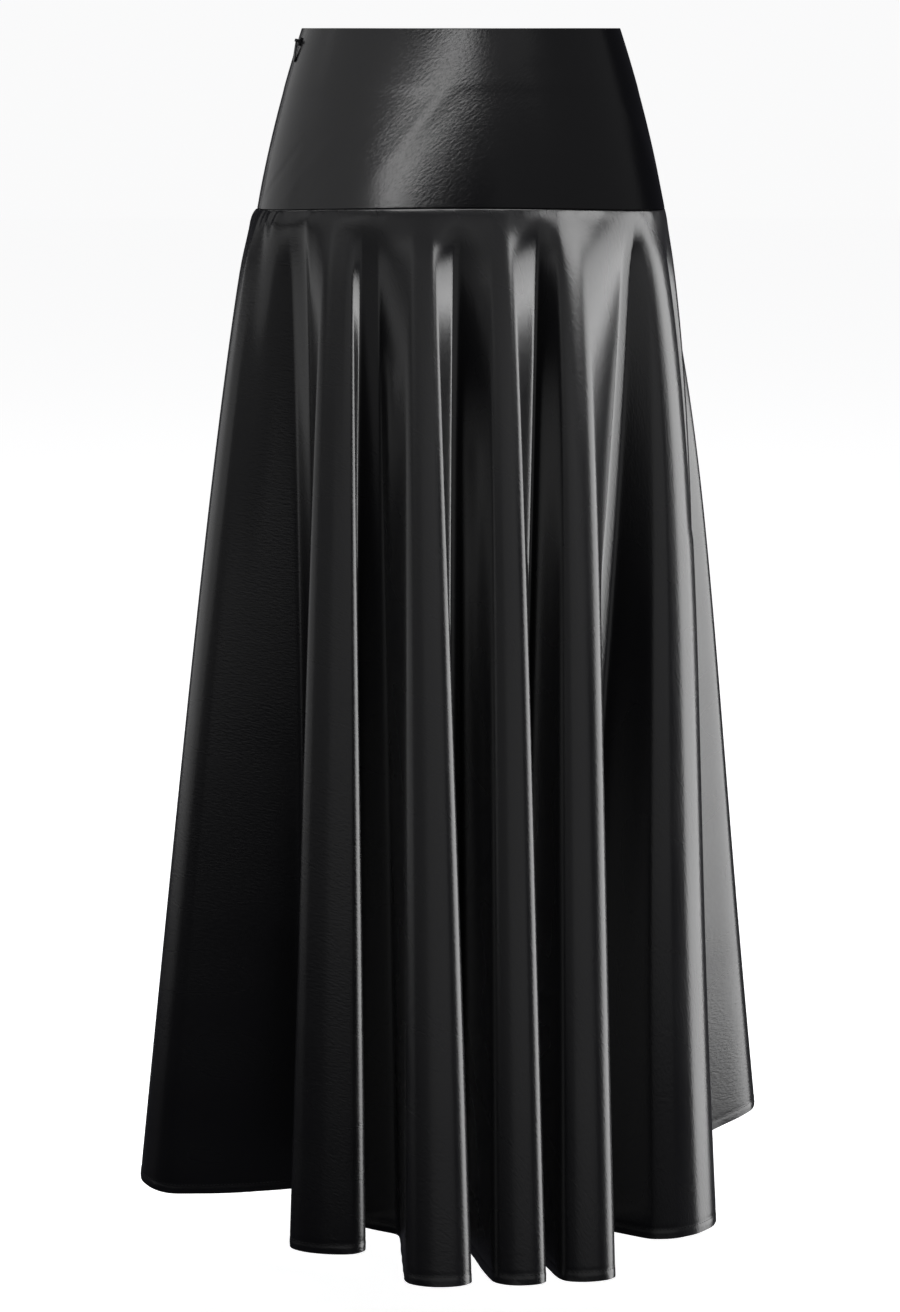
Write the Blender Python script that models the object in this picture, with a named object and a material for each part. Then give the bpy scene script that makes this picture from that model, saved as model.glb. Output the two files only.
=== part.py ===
"""A-line maxi skirt: a fitted hip yoke, a flared skirt that falls from it in deep flutes, and a side zip.

Metres, +Z up. The origin is the centre of the waist opening, level with its top edge. The front faces -Y.
The skirt keeps the hollow form that it has when it is worn. Angles go round the body from the front, positive
towards +X, so the zip's seam is near -90 degrees.
"""

import math
from collections import namedtuple

import bmesh
import bpy
import numpy as np
from mathutils import Matrix, Vector

FULL_TURN = 2 * math.pi

# The body that the cut follows
WAIST_HALF_WIDTH = 0.120
WAIST_HALF_DEPTH = 0.0875
HIP_SEAM_HALF_WIDTH = 0.156
HIP_SEAM_HALF_DEPTH = 0.113
HIP_SEAM_DROP_FRONT = 0.128
HIP_SEAM_DROP_SIDE = 0.1345
YOKE_ROUNDING = 0.0025  # how far the yoke curves out past a straight taper

# The flared skirt
THREAD_LENGTH = 0.790  # from the hip seam to the hem, the same all round
HIP_ROLL_ZIP_SIDE = 0.0055  # how far the cloth rolls out just below the hip seam
HIP_ROLL_PLAIN_SIDE = 0.001
HIP_ROLL_SHARE = 0.008  # the share of a thread in which it rolls out
HIP_ROUNDING_ZIP_SIDE = 0.001  # how far the cloth rounds out over the hips, a quarter of the way down
HIP_ROUNDING_PLAIN_SIDE = 0.009

# Cloth
CLOTH = 0.0015
HEM_CLOTH = 0.0025  # the hem is turned up
HEM_TURN = 0.008
SEAM_GAP = 0.0003
ZIP_SEAM_DEG = -77
PLAIN_SEAM_DEG = 97

# The flutes of the hem, in order round the body. The thread that ends on a flute's crest starts at seam_deg on
# the hip seam. Its crest lies at crest_deg, reach_m from the centre line, and its tip is width_m across and faces
# facing_deg, with its shoulders back by rounding, a share of its width. The valley after it starts at
# valley_seam_deg, lies valley_reach_m out and is valley_width_m across.
Flute = namedtuple(
    "Flute",
    "name seam_deg crest_deg reach_m facing_deg width_m rounding "
    "valley_seam_deg valley_deg valley_reach_m valley_width_m",
)
FLUTES = (
    Flute("left_side", -78, -87, 0.263, -92, 0.078, 0.38, -50, -66, 0.130, 0.040),
    Flute("front_1", -33, -30.5, 0.206, -8, 0.062, 0.24, -25, -28, 0.141, 0.042),
    Flute("front_2", -10, -4, 0.261, -6, 0.051, 0.32, -1, -2, 0.145, 0.012),
    Flute("front_3", 10, 9, 0.259, -10, 0.043, 0.34, 21, 17, 0.145, 0.008),
    Flute("front_4", 27, 21, 0.267, 6, 0.044, 0.34, 54, 36, 0.140, 0.022),
    Flute("front_5", 61, 54, 0.229, 38, 0.080, 0.38, 83, 76, 0.150, 0.016),
    Flute("right_side", 93, 88, 0.204, 88, 0.034, 0.38, 101, 99, 0.150, 0.014),
    Flute("right_back", 113, 120, 0.293, 113, 0.068, 0.38, 127, 133, 0.145, 0.018),
    Flute("back_1", 139, 146, 0.256, 149, 0.056, 0.36, 151, 157, 0.140, 0.020),
    Flute("back_2", 163, 168, 0.246, 174, 0.050, 0.32, 174, 181, 0.148, 0.016),
    Flute("back_3", 186, 192, 0.250, 188, 0.054, 0.38, 200, 205, 0.142, 0.022),
    Flute("back_4", 215, 219, 0.258, 214, 0.060, 0.34, 229, 231, 0.146, 0.020),
    Flute("left_back", 243, 246, 0.250, 240, 0.062, 0.38, 260, 259, 0.150, 0.022),
)
TIP_STEPS = 6
FOLD_SOFTNESS = 0.0045  # how far the cloth's stiffness rounds each bend along the hem
OUTLINE_STEP = 0.001
TREND_COUNT = 720
TREND_WAVES = 4  # the slow waves round the hem that are the cone's own, not the flutes'
FOLD_ONSET = 0.030  # the share of a thread in which the flutes begin
FOLD_POWER = 0.70  # how soon they grow below it

# How finely the panels are divided
YOKE_ROWS = 6
YOKE_COLUMNS = 28
COLUMN_TURN = math.radians(30)
COLUMN_LENGTH = 0.060
SKIRT_SHARES = (0.0, 0.025, 0.055, 0.09, 0.14, 0.22, 0.34, 0.52, 0.75)

# Side zip
ZIP_TAPE_SHARES = 3  # how many of the skirt's rows the tape reaches down
ZIP_TAPE_HALF_WIDTH = 0.011
ZIP_TAPE = 0.0010
SLIDER_DROP = 0.010
SLIDER_WIDTH = 0.0044
SLIDER_LENGTH = 0.0062
SLIDER_HEIGHT = 0.0016
EAR = 0.0008
EAR_LENGTH = 0.0022
PIN_RADIUS = 0.00045
PIN_HEIGHT = 0.0034  # the pin's axis above the cloth
EYE_HOLE_RADIUS = 0.00075
EYE_RADIUS = 0.00115
EYE_WIDTH = 0.0024
PULL_LENGTH = 0.016
PULL_END_WIDTH = 0.0050
PULL_THICKNESS = 0.0009
PULL_REST_DEG = 9  # how far the pull leans in from the zip's own line, on to the cloth
ROUND_SIDES = 24

SATIN_BLACK = (0.016, 0.016, 0.018, 1.0)
TAPE_BLACK = (0.012, 0.012, 0.013, 1.0)
ENAMEL_BLACK = (0.008, 0.008, 0.009, 1.0)


def outward(angle):
    """The plan direction at an angle round the body."""
    return np.array([math.sin(angle), -math.cos(angle)])


def along(angle):
    """The plan direction of growing angle."""
    return np.array([math.cos(angle), math.sin(angle)])


def unit(vectors):
    return vectors / np.linalg.norm(vectors, axis=-1, keepdims=True)


# The hem's outline in plan


def flute_corners(flute):
    """Plan points over the rounded tip of one flute, and the two sides of the valley after it."""
    facing = math.radians(flute.facing_deg)
    depth = flute.rounding * flute.width_m
    shoulders = outward(math.radians(flute.crest_deg)) * flute.reach_m - outward(facing) * depth
    turns = np.radians(np.linspace(-90, 90, TIP_STEPS + 1))
    tip = [
        shoulders + along(facing) * math.sin(turn) * flute.width_m / 2 + outward(facing) * math.cos(turn) * depth
        for turn in turns
    ]
    valley_angle = math.radians(flute.valley_deg)
    valley = outward(valley_angle) * flute.valley_reach_m
    half_valley = along(valley_angle) * flute.valley_width_m / 2
    return [*tip, valley - half_valley, valley + half_valley]


def soften(values):
    """Rounds a closed row of values, one for each step of the outline, as the cloth's stiffness does."""
    frequency = np.fft.fftfreq(len(values), OUTLINE_STEP)
    kept = np.exp(-2 * (math.pi * FOLD_SOFTNESS * frequency) ** 2)
    if values.ndim == 2:
        kept = kept[:, None]
    return np.fft.ifft(np.fft.fft(values, axis=0) * kept, axis=0).real


def hem_outline():
    """The hem in plan, one point for each step round it, and the hip seam's angle above each of them."""
    corners = np.array([point for flute in FLUTES for point in flute_corners(flute)])
    sides = np.linalg.norm(np.roll(corners, -1, axis=0) - corners, axis=1)
    reached = np.concatenate([[0.0], np.cumsum(sides)])
    round_the_hem = reached[-1]
    count = round(round_the_hem / OUTLINE_STEP)
    steps = np.arange(count) * round_the_hem / count
    closed = np.vstack([corners, corners[:1]])
    polygon = np.column_stack([np.interp(steps, reached, closed[:, axis]) for axis in (0, 1)])

    for_one_flute = TIP_STEPS + 3
    crests = reached[TIP_STEPS // 2 :: for_one_flute]
    valleys = (reached[TIP_STEPS + 1 :: for_one_flute] + reached[TIP_STEPS + 2 :: for_one_flute]) / 2
    knots = np.column_stack([crests, valleys]).ravel()
    angles = np.radians([angle for flute in FLUTES for angle in (flute.seam_deg, flute.valley_seam_deg)])
    knots = np.concatenate([knots - round_the_hem, knots, knots + round_the_hem])
    angles = np.concatenate([angles - FULL_TURN, angles, angles + FULL_TURN])
    steady = steps / round_the_hem * FULL_TURN
    seam_angles = soften(np.interp(steps, knots, angles) - steady) + steady
    return soften(polygon), seam_angles


HEM, HEM_SEAM_ANGLES = hem_outline()


def hem_below(angles):
    """Plan points of the hem below these angles of the hip seam."""
    wrapped = (angles - HEM_SEAM_ANGLES[0]) % FULL_TURN + HEM_SEAM_ANGLES[0]
    known = np.append(HEM_SEAM_ANGLES, HEM_SEAM_ANGLES[0] + FULL_TURN)
    closed = np.vstack([HEM, HEM[:1]])
    return np.column_stack([np.interp(wrapped, known, closed[:, axis]) for axis in (0, 1)])


def hem_trend():
    """The hem without its flutes, at TREND_COUNT even angles of the hip seam."""
    angles = np.arange(TREND_COUNT) * FULL_TURN / TREND_COUNT
    hem = hem_below(angles) @ np.array([1, 1j])
    waves = np.fft.fft(hem)
    waves[TREND_WAVES + 1 : -TREND_WAVES] = 0
    hem = np.fft.ifft(waves)
    return np.column_stack([hem.real, hem.imag])


HEM_TREND = hem_trend()


def trend_below(angles):
    even = np.arange(TREND_COUNT + 1) * FULL_TURN / TREND_COUNT
    closed = np.vstack([HEM_TREND, HEM_TREND[:1]])
    return np.column_stack([np.interp(angles % FULL_TURN, even, closed[:, axis]) for axis in (0, 1)])


# The garment's outer surface. A row of it is one point for each angle round the hip seam.


def yoke_row(angles, share):
    """A row of the yoke, from the waist at share 0 to the hip seam at 1."""
    rounding = 4 * YOKE_ROUNDING * share * (1 - share)
    half_width = WAIST_HALF_WIDTH + (HIP_SEAM_HALF_WIDTH - WAIST_HALF_WIDTH) * share + rounding
    half_depth = WAIST_HALF_DEPTH + (HIP_SEAM_HALF_DEPTH - WAIST_HALF_DEPTH) * share + rounding
    seam_drop = HIP_SEAM_DROP_FRONT + (HIP_SEAM_DROP_SIDE - HIP_SEAM_DROP_FRONT) * np.sin(angles) ** 2
    return np.column_stack([half_width * np.sin(angles), -half_depth * np.cos(angles), -share * seam_drop])


def skirt_row(angles, share):
    """A row of the flared skirt, from the hip seam at share 0 to the hem at 1.

    The cloth follows a cone that opens towards the hem's trend, and its flutes grow out of that cone.
    """
    start = yoke_row(angles, 1.0)
    hem = hem_below(angles)
    trend = trend_below(angles)
    travel = np.linalg.norm(hem - start[:, :2], axis=1)
    fall = np.sqrt(THREAD_LENGTH**2 - travel**2)
    folded = share**FOLD_POWER * (1 - math.exp(-((share / FOLD_ONSET) ** 2)))
    plan = start[:, :2] + (trend - start[:, :2]) * share + (hem - trend) * folded
    row = np.column_stack([plan, start[:, 2] - fall * share])
    away = unit(np.column_stack([np.sin(angles) / HIP_SEAM_HALF_WIDTH, -np.cos(angles) / HIP_SEAM_HALF_DEPTH]))
    row[:, :2] += away * hip_bulge(angles, share)[:, None]
    return row


def hip_bulge(angles, share):
    """How far the skirt stands out past the cone."""
    zip_side = (1 - np.sin(angles)) / 2
    roll = HIP_ROLL_PLAIN_SIDE + (HIP_ROLL_ZIP_SIDE - HIP_ROLL_PLAIN_SIDE) * zip_side
    rounding = HIP_ROUNDING_PLAIN_SIDE + (HIP_ROUNDING_ZIP_SIDE - HIP_ROUNDING_PLAIN_SIDE) * zip_side
    rolled = (1 - math.exp(-share / HIP_ROLL_SHARE)) * (1 - share)
    rounded = share * (1 - share) ** 3 / (0.25 * 0.75**3)
    return roll * rolled + rounding * rounded


def directions(row_at, angles, share):
    """Unit vectors of a surface at each point of a row: across it, down it and out of it."""
    turn, step = math.radians(0.3), 0.002
    before, after = max(share - step, 0.0), min(share + step, 1.0)
    across = unit(row_at(angles + turn, share) - row_at(angles - turn, share))
    down = unit(row_at(angles, after) - row_at(angles, before))
    out = unit(np.cross(down, across))
    return across, down, out


def row_of(row_at, angles, share, joined_to=None):
    """A row's points with the directions across, down and out. Rows that meet at a seam share one direction out."""
    across, down, out = directions(row_at, angles, share)
    if joined_to is not None:
        out = unit(out + directions(joined_to[0], angles, joined_to[1])[2])
    return row_at(angles, share), across, down, out


# Turning rows of the surface into cloth


def mesh_object(name, mesh, material):
    obj = bpy.data.objects.new(name, mesh)
    bpy.context.scene.collection.objects.link(obj)
    obj.data.materials.append(material)
    return obj


def shade_round(mesh, sharp_deg=50):
    mesh.shade_smooth()
    mesh.set_sharp_from_angle(angle=math.radians(sharp_deg))


def wall(name, outer, inner, material):
    """One closed piece between two grids of points of the same size, each of rows from the top down.

    Both sides of a square are split along the same diagonal, so that the two never meet where the square twists.
    """
    rows, columns = outer.shape[:2]
    points = np.concatenate([outer.reshape(-1, 3), inner.reshape(-1, 3)])
    front = np.arange(rows * columns).reshape(rows, columns)
    back = front + rows * columns
    a, b, c, d = (corner.ravel() for corner in (front[:-1, :-1], front[:-1, 1:], front[1:, 1:], front[1:, :-1]))
    falls = np.linalg.norm(points[a] - points[c], axis=1) <= np.linalg.norm(points[b] - points[d], axis=1)
    outside = np.concatenate([np.stack([a, d, np.where(falls, c, b)], -1), np.stack([np.where(falls, a, d), c, b], -1)])

    def rim(one, other):
        return np.stack([one[:-1], one[1:], other[1:], other[:-1]], axis=-1).tolist()

    faces = outside.tolist() + (outside[:, ::-1] + rows * columns).tolist()
    faces += rim(front[0], back[0]) + rim(back[-1], front[-1])
    faces += rim(back[:, 0], front[:, 0]) + rim(front[:, -1], back[:, -1])
    mesh = bpy.data.meshes.new(name)
    mesh.from_pydata(points.tolist(), [], faces)
    shade_round(mesh)
    return mesh_object(name, mesh, material)


def cloth_panel(name, rows, thicknesses, material):
    """A wall of cloth on rows of the surface. Each row is its points and the directions across, down and out."""
    half_gap = SEAM_GAP / 2
    outer, inner = [], []
    for (points, across, _, out), thickness in zip(rows, thicknesses):
        points = points.copy()
        points[0] += across[0] * half_gap
        points[-1] -= across[-1] * half_gap
        outer.append(points)
        inner.append(points - out * thickness)
    return wall(name, np.array(outer), np.array(inner), material)


def yoke_rows(angles):
    shares = np.linspace(0, 1, YOKE_ROWS + 1)
    rows = [row_of(yoke_row, angles, share) for share in shares[:-1]]
    points, across, down, out = row_of(yoke_row, angles, 1.0, joined_to=(skirt_row, 0.0))
    rows.append((points - down * SEAM_GAP / 2, across, down, out))
    return rows


def skirt_rows(angles):
    """The skirt's rows and their thicknesses: the last rows step out to the turned-up hem."""
    points, across, down, out = row_of(skirt_row, angles, 0.0, joined_to=(yoke_row, 1.0))
    rows = [(points + down * SEAM_GAP / 2, across, down, out)]
    hem_shares = (1 - (HEM_TURN + CLOTH) / THREAD_LENGTH, 1 - HEM_TURN / THREAD_LENGTH, 1.0)
    rows += [row_of(skirt_row, angles, share) for share in SKIRT_SHARES[1:] + hem_shares]
    return rows, [CLOTH] * len(SKIRT_SHARES) + [CLOTH, HEM_CLOTH, HEM_CLOTH]


def tape_turn():
    """The angle on the hip seam from the zip's seam to the edge of its tape."""
    angle = math.radians(ZIP_SEAM_DEG)
    for_one_radian = math.hypot(WAIST_HALF_WIDTH * math.cos(angle), WAIST_HALF_DEPTH * math.sin(angle))
    return ZIP_TAPE_HALF_WIDTH / for_one_radian


def with_tape_edges(angles):
    """Adds a column at each edge of the zip's tape, so that the tape can lie on the panels' own points."""
    edges = math.radians(ZIP_SEAM_DEG) + np.array([tape_turn(), FULL_TURN - tape_turn()])
    inside = edges[(edges > angles[0]) & (edges < angles[-1])]
    kept = [angle for angle in angles[1:-1] if np.abs(edges - angle).min() > tape_turn() * 0.5]
    return np.sort(np.concatenate([angles[:1], kept, inside, angles[-1:]]))


def skirt_angles(start, end):
    """Columns between two angles of the hip seam, closest together where the hem below them bends most."""
    angles = np.concatenate([HEM_SEAM_ANGLES, HEM_SEAM_ANGLES + FULL_TURN])
    sides = np.diff(np.vstack([HEM, HEM, HEM[:1]]), axis=0)
    lengths = np.linalg.norm(sides, axis=1)
    headings = np.unwrap(np.arctan2(sides[:, 1], sides[:, 0]))
    bends = np.abs(np.diff(headings, prepend=headings[0]))
    effort = np.cumsum(lengths / COLUMN_LENGTH + bends / COLUMN_TURN)
    first, last = np.interp([start, end], angles, effort)
    return np.interp(np.linspace(first, last, math.ceil(last - first) + 1), effort, angles)


def side_of_garment(side, start_deg, end_deg, material):
    """The yoke and the skirt of the front or the back."""
    start, end = math.radians(start_deg), math.radians(end_deg)
    yoke_angles = with_tape_edges(np.linspace(start, end, YOKE_COLUMNS + 1))
    cloth_panel(f"yoke_{side}", yoke_rows(yoke_angles), [CLOTH] * (YOKE_ROWS + 1), material)
    rows, thicknesses = skirt_rows(with_tape_edges(skirt_angles(start, end)))
    cloth_panel(f"skirt_{side}", rows, thicknesses, material)


# The zip


def zip_tape(material):
    """The tape that carries the zip's teeth, just inside the side seam, from the waist to below the yoke."""
    angles = math.radians(ZIP_SEAM_DEG) + np.array([-tape_turn(), 0.0, tape_turn()])
    rows = yoke_rows(angles) + skirt_rows(angles)[0][1:ZIP_TAPE_SHARES]
    top, across, down, out = rows[0]
    rows[0] = (top + down * CLOTH, across, down, out)
    outer, inner = [], []
    for points, _, _, out in rows:
        behind = points - out * (CLOTH + SEAM_GAP)
        for edge in (0, 2):
            reach = behind[edge] - behind[1]
            behind[edge] = behind[1] + reach * min(1.0, ZIP_TAPE_HALF_WIDTH / np.linalg.norm(reach))
        outer.append(behind)
        inner.append(behind - out * ZIP_TAPE)
    return wall("zip_tape", np.array(outer), np.array(inner), material)


def zip_place():
    """The slider's own axes on the side seam: X across the seam, Y out of the cloth, Z up it."""
    share = SLIDER_DROP / HIP_SEAM_DROP_SIDE
    point, across, down, out = (part[0] for part in row_of(yoke_row, np.radians([ZIP_SEAM_DEG]), share))
    place = Matrix.Identity(4)
    for column, vector in enumerate((-across, out, -down, point)):
        place.col[column][:3] = vector
    return place


def block(width, height, length, bevel):
    """A rounded block centred on the origin: across X, out along Y, up along Z."""
    shape = bmesh.new()
    bmesh.ops.create_cube(shape, size=1.0)
    bmesh.ops.scale(shape, vec=(width, height, length), verts=shape.verts)
    bmesh.ops.bevel(shape, geom=shape.edges[:], offset=bevel, segments=2, affect="EDGES", profile=0.5)
    return shape


def rod(radius, length):
    """A round bar along X, centred on the origin."""
    shape = bmesh.new()
    turn = Matrix.Rotation(math.pi / 2, 4, "Y")
    bmesh.ops.create_cone(
        shape, cap_ends=True, segments=ROUND_SIDES, radius1=radius, radius2=radius, depth=length, matrix=turn
    )
    return shape


def mesh_of(name, shape, at=(0, 0, 0)):
    mesh = bpy.data.meshes.new(name)
    bmesh.ops.translate(shape, vec=Vector(at), verts=shape.verts)
    shape.to_mesh(mesh)
    shape.free()
    shade_round(mesh)
    return mesh


def combine(obj, name, shape, operation, at=(0, 0, 0)):
    """Joins a helper shape to an object, or cuts it out. The helper is placed in the object's own axes."""
    helper = bpy.data.objects.new(name, mesh_of(name, shape, at))
    bpy.context.scene.collection.objects.link(helper)
    helper.matrix_world = obj.matrix_world
    helper.hide_render = True
    helper.display_type = "WIRE"
    boolean = obj.modifiers.new(name, "BOOLEAN")
    boolean.operation = operation
    boolean.object = helper


def zip_slider(material, place):
    """The slider's body, with two ears that hold the pin for the pull."""
    middle = SEAM_GAP + SLIDER_HEIGHT / 2
    body = block(SLIDER_WIDTH, SLIDER_HEIGHT, SLIDER_LENGTH, SLIDER_HEIGHT / 4)
    slider = mesh_object("zip_slider", mesh_of("zip_slider", body, (0, middle, 0)), material)
    slider.matrix_world = place
    ear_height = PIN_HEIGHT + 2 * PIN_RADIUS - middle
    for side in (-1, 1):
        ear = block(EAR, ear_height, EAR_LENGTH, EAR / 5)
        at = (side * (SLIDER_WIDTH - EAR) / 2, middle + ear_height / 2, 0)
        combine(slider, f"slider_ear_{side}", ear, "UNION", at)
    combine(slider, "slider_pin", rod(PIN_RADIUS, SLIDER_WIDTH - EAR), "UNION", (0, PIN_HEIGHT, 0))
    return slider


def pull_outline():
    """The pull's flat shape, from its eye at the origin down to its round end."""
    neck = EYE_WIDTH / 2
    end = PULL_END_WIDTH / 2
    centre = end - PULL_LENGTH
    steps = ROUND_SIDES // 2
    arc = [math.pi * (1 + step / steps) for step in range(steps + 1)]
    round_end = [(end * math.cos(angle), centre + end * math.sin(angle)) for angle in arc]
    return [(neck, 0.0), (-neck, 0.0), *round_end]


def zip_pull(material, place):
    """The pull tab: a flat drop with an eye round the slider's pin, hanging against the cloth."""
    shape = bmesh.new()
    outline = [shape.verts.new((x, -PULL_THICKNESS / 2, z)) for x, z in pull_outline()]
    pushed = bmesh.ops.extrude_face_region(shape, geom=[shape.faces.new(outline)])
    moved = [element for element in pushed["geom"] if isinstance(element, bmesh.types.BMVert)]
    bmesh.ops.translate(shape, vec=(0, PULL_THICKNESS, 0), verts=moved)
    bmesh.ops.recalc_face_normals(shape, faces=shape.faces)
    pull = mesh_object("zip_pull", mesh_of("zip_pull", shape), material)
    lean = Matrix.Rotation(-math.radians(PULL_REST_DEG), 4, "X")
    pull.matrix_world = place @ Matrix.Translation((0, PIN_HEIGHT, 0)) @ lean
    combine(pull, "pull_eye", rod(EYE_RADIUS, EYE_WIDTH), "UNION")
    combine(pull, "pull_eye_hole", rod(EYE_HOLE_RADIUS, 2 * EYE_WIDTH), "DIFFERENCE")
    return pull


def surface(name, colour, roughness, metallic=0.0, sheen=0.0):
    material = bpy.data.materials.new(name)
    material.use_nodes = True
    shader = material.node_tree.nodes["Principled BSDF"]
    shader.inputs["Base Color"].default_value = colour
    shader.inputs["Roughness"].default_value = roughness
    shader.inputs["Metallic"].default_value = metallic
    shader.inputs["Sheen Weight"].default_value = sheen
    material.diffuse_color = colour
    return material


def clear_scene():
    for obj in list(bpy.data.objects):
        bpy.data.objects.remove(obj)


def main():
    clear_scene()
    satin = surface("satin", SATIN_BLACK, roughness=0.3, sheen=0.2)
    tape = surface("zip_tape", TAPE_BLACK, roughness=0.8)
    enamel = surface("enamelled_metal", ENAMEL_BLACK, roughness=0.35, metallic=0.3)
    side_of_garment("front", ZIP_SEAM_DEG, PLAIN_SEAM_DEG, satin)
    side_of_garment("back", PLAIN_SEAM_DEG, ZIP_SEAM_DEG + 360, satin)
    zip_tape(tape)
    place = zip_place()
    zip_slider(enamel, place)
    zip_pull(enamel, place)


main()
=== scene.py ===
"""The looks of the a-line maxi skirt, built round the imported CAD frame.

It makes fine cloth shells on the solids' own form, a satin whose crinkle follows the cut, hem stitching, the side
zip's tape and coil, and the studio.

Metres, +Z up, in the frame's own axes. Angles go round the body from the front, positive towards +X. The body, the
cut and the table of flutes are the ones that the CAD uses.
"""

import math
from collections import namedtuple

import bpy
import numpy as np
from mathutils import Matrix, Vector


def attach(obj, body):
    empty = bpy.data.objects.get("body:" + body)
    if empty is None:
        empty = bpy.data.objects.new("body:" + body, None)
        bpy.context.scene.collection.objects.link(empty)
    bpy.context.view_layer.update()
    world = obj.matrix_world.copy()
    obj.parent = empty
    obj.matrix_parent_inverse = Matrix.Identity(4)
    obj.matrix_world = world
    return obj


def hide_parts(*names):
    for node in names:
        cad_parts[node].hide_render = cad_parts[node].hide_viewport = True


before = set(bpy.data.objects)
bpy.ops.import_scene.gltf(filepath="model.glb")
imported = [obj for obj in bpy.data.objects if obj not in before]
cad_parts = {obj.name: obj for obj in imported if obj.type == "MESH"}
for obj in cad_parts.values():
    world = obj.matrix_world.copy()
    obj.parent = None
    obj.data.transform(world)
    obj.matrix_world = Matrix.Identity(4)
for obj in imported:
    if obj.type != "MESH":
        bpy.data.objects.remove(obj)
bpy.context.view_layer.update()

FULL_TURN = 2 * math.pi

# The body that the cut follows
WAIST_HALF_WIDTH = 0.120
WAIST_HALF_DEPTH = 0.0875
HIP_SEAM_HALF_WIDTH = 0.156
HIP_SEAM_HALF_DEPTH = 0.113
HIP_SEAM_DROP_FRONT = 0.128
HIP_SEAM_DROP_SIDE = 0.1345
YOKE_ROUNDING = 0.0025

# The flared skirt
THREAD_LENGTH = 0.790
HIP_ROLL_ZIP_SIDE = 0.0055
HIP_ROLL_PLAIN_SIDE = 0.001
HIP_ROLL_SHARE = 0.008
HIP_ROUNDING_ZIP_SIDE = 0.001
HIP_ROUNDING_PLAIN_SIDE = 0.009

# The side zip
ZIP_TAPE_HALF_WIDTH = 0.011
ZIP_TAPE = 0.0008
ZIP_TAPE_TOP = 0.0020
ZIP_TAPE_BELOW_SEAM = (0.0198, 0.0434)  # the tape spans the seam's own hollow and goes on down the skirt
ZIP_TAPE_BEHIND = 0.0006  # the air between the tape and the cloth
ZIP_TAPE_COLUMNS = 13
ZIP_TAPE_YOKE_ROWS = 43
ZIP_TAPE_SKIRT_ROWS = 9
COIL_HALF_WIDTH = 0.0012
COIL_HALF_DEPTH = 0.0006
COIL_WIRE = 0.00026
COIL_PITCH = 0.0013
COIL_TURN_STEPS = 10
COIL_WIRE_SIDES = 5

# Seams and cloth
SEAM_GAP = 0.0003
ZIP_SEAM_DEG = -77
PLAIN_SEAM_DEG = 97
CLOTH = 0.0010
SEAM_ROLL = 0.0006  # how tightly a seamed edge rolls in
WAIST_ROLL = 0.0005
HEM_TURN = 0.0068
HEM_STEP = 0.0002  # how far the turned-up hem stands out
HEM_STEP_SOFTNESS = 0.0005
HEM_DIP = 0.0005  # how far the stitching draws the cloth in
HEM_DIP_WIDTH = 0.0006
HEM_RIPPLE = 0.00035
HEM_RIPPLE_LENGTH = 0.011
HEM_RIPPLE_SLANT = 0.008
HEM_RIPPLE_REACH = 0.006
STITCH_LENGTH = 0.0021
STITCH_PITCH = 0.0029
STITCH_RADIUS = 0.00022
STITCH_SIDES_DEG = 60

# The turning inside the waist
FACING_DROP = 0.044
FACING_STEP = 0.00022
FACING_STEP_SOFTNESS = 0.0012
FACING_WANDER = 0.0015
FACING_WANDER_LENGTH = 0.06

Flute = namedtuple(
    "Flute",
    "name seam_deg crest_deg reach_m facing_deg width_m rounding "
    "valley_seam_deg valley_deg valley_reach_m valley_width_m",
)
FLUTES = (
    Flute("left_side", -78, -87, 0.263, -92, 0.078, 0.38, -50, -66, 0.130, 0.040),
    Flute("front_1", -33, -30.5, 0.206, -8, 0.062, 0.24, -25, -28, 0.141, 0.042),
    Flute("front_2", -10, -4, 0.261, -6, 0.051, 0.32, -1, -2, 0.145, 0.012),
    Flute("front_3", 10, 9, 0.259, -10, 0.043, 0.34, 21, 17, 0.145, 0.008),
    Flute("front_4", 27, 21, 0.267, 6, 0.044, 0.34, 54, 36, 0.140, 0.022),
    Flute("front_5", 61, 54, 0.229, 38, 0.080, 0.38, 83, 76, 0.150, 0.016),
    Flute("right_side", 93, 88, 0.204, 88, 0.034, 0.38, 101, 99, 0.150, 0.014),
    Flute("right_back", 113, 120, 0.293, 113, 0.068, 0.38, 127, 133, 0.145, 0.018),
    Flute("back_1", 139, 146, 0.256, 149, 0.056, 0.36, 151, 157, 0.140, 0.020),
    Flute("back_2", 163, 168, 0.246, 174, 0.050, 0.32, 174, 181, 0.148, 0.016),
    Flute("back_3", 186, 192, 0.250, 188, 0.054, 0.38, 200, 205, 0.142, 0.022),
    Flute("back_4", 215, 219, 0.258, 214, 0.060, 0.34, 229, 231, 0.146, 0.020),
    Flute("left_back", 243, 246, 0.250, 240, 0.062, 0.38, 260, 259, 0.150, 0.022),
)
TIP_STEPS = 6
FOLD_SOFTNESS = 0.0045
OUTLINE_STEP = 0.001
TREND_COUNT = 720
TREND_WAVES = 4
FOLD_ONSET = 0.030
FOLD_POWER = 0.70

# How finely the cloth is meshed
EDGE_STEP = 0.0002
HEM_EDGE_STEP = 0.0007
YOKE_ROW_STEP = 0.003
YOKE_COLUMNS = 200
SKIRT_ROW_STEP = 0.010
SKIRT_COLUMNS = 430

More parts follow.
